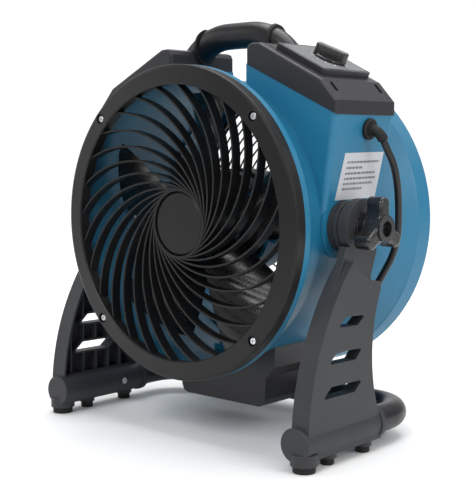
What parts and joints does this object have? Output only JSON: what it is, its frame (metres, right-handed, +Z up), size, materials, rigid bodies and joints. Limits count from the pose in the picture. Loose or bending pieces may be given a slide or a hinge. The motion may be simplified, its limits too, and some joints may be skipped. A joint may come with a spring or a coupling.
{
  "type": "axial air mover",
  "caption": "Round axial air mover: a drum blower with swirl grille, tilting between two ribbed legs on a tubular base, with carry handle, speed dial and clamp knobs.",
  "frame": {"origin": "floor level under the middle of the object's overall box (free cord, coil and plug left out)", "axes": "+Z up, -Y is the outlet grille side that the air leaves by, +X towards the speed dial's side"},
  "size_m": [0.482, 0.4225, 0.5095],
  "materials": {
    "blue_shell": "lightly textured moulded blue plastic",
    "black_shell": "fine-textured moulded black plastic",
    "panel": "grey textured overlay",
    "black_gloss": "smooth gloss black",
    "hub_black": "satin black",
    "tube": "satin black powder coat",
    "wire_steel": "black powder-coated wire",
    "motor_paint": "satin black paint",
    "steel": "zinc-plated steel",
    "copper": "varnished copper winding",
    "brass": "plain brass",
    "rubber": "matte black rubber",
    "cord": "black cord jacket",
    "label": "printed white film"
  },
  "bodies": {
    "stand": {"right_leg": "black_shell", "left_leg": "black_shell", "rubber_feet": "rubber", "rear_rail": "tube", "rail_feet": "rubber", "rail_screws": "steel", "power_cord": "cord", "cord_coil": "cord", "cord_tie": "cord", "plug_body": "cord", "plug_prongs": "brass"},
    "fan_housing": {"front_grille": "black_shell", "grille_hub_cap": "black_shell", "grille_screws": "steel", "front_housing": "blue_shell", "rear_bell": "blue_shell", "rear_guard": "wire_steel", "guard_screws": "steel", "motor_pedestal": "blue_shell", "motor_strap": "black_shell", "strap_screws": "steel", "motor_front_cover": "motor_paint", "motor_rear_cover": "motor_paint", "stator_core": "steel", "stator_windings": "copper", "front_bearing": "steel", "rear_bearing": "steel", "left_cap": "black_shell", "right_cap": "black_shell", "control_panel": "panel", "speed_switch": "hub_black", "handle_tube": "tube", "handle_collars": "rubber", "cord_gland": "rubber", "rating_label": "label", "under_box": "black_shell", "under_box_cover": "black_shell", "under_box_screws": "steel", "run_capacitor": "hub_black", "right_pivot_hub": "hub_black", "left_pivot_hub": "hub_black", "right_pivot_stud": "steel", "left_pivot_stud": "steel"},
    "rotor": {"motor_shaft": "steel", "rotor_core": "steel", "fan_blades": "black_gloss", "fan_nut": "steel"},
    "speed_dial": {"speed_knob": "black_gloss"},
    "right_washer": {"right_knob_washer": "steel"},
    "left_washer": {"left_knob_washer": "steel"},
    "right_clamp": {"right_knob": "black_gloss"},
    "left_clamp": {"left_knob": "black_gloss"}
  },
  "joints": [
    {"name": "tilt", "type": "hinge", "parent": "stand", "child": "fan_housing", "pos_m": [0, -0.022, 0.263], "axis": [1, 0, 0], "range_deg": [0, 80]},
    {"name": "fan_spin", "type": "hinge", "parent": "fan_housing", "child": "rotor", "pos_m": [0, -0.059, 0.262], "axis": [0, -1, 0], "continuous": true},
    {"name": "speed_turn", "type": "hinge", "parent": "fan_housing", "child": "speed_dial", "pos_m": [0.13881, 0.006, 0.46154], "axis": [0.4433, 0, 0.8963], "range_deg": [0, 270]},
    {"name": "right_washer_slide", "type": "slide", "parent": "fan_housing", "child": "right_washer", "axis": [1, 0, 0], "range_m": [0, 0.0015]},
    {"name": "left_washer_slide", "type": "slide", "parent": "fan_housing", "child": "left_washer", "axis": [-1, 0, 0], "range_m": [0, 0.0015]},
    {"name": "right_clamp_turn", "type": "hinge", "parent": "right_washer", "child": "right_clamp", "pos_m": [0.226, -0.022, 0.263], "axis": [1, 0, 0], "range_deg": [0, 360]},
    {"name": "left_clamp_turn", "type": "hinge", "parent": "left_washer", "child": "left_clamp", "pos_m": [-0.226, -0.022, 0.263], "axis": [-1, 0, 0], "range_deg": [0, 360]}
  ],
  "couplings": [
    {"joint": "right_washer_slide", "follows": "right_clamp_turn", "m_per_rad": 0.00023873},
    {"joint": "left_washer_slide", "follows": "left_clamp_turn", "m_per_rad": 0.00023873}
  ]
}
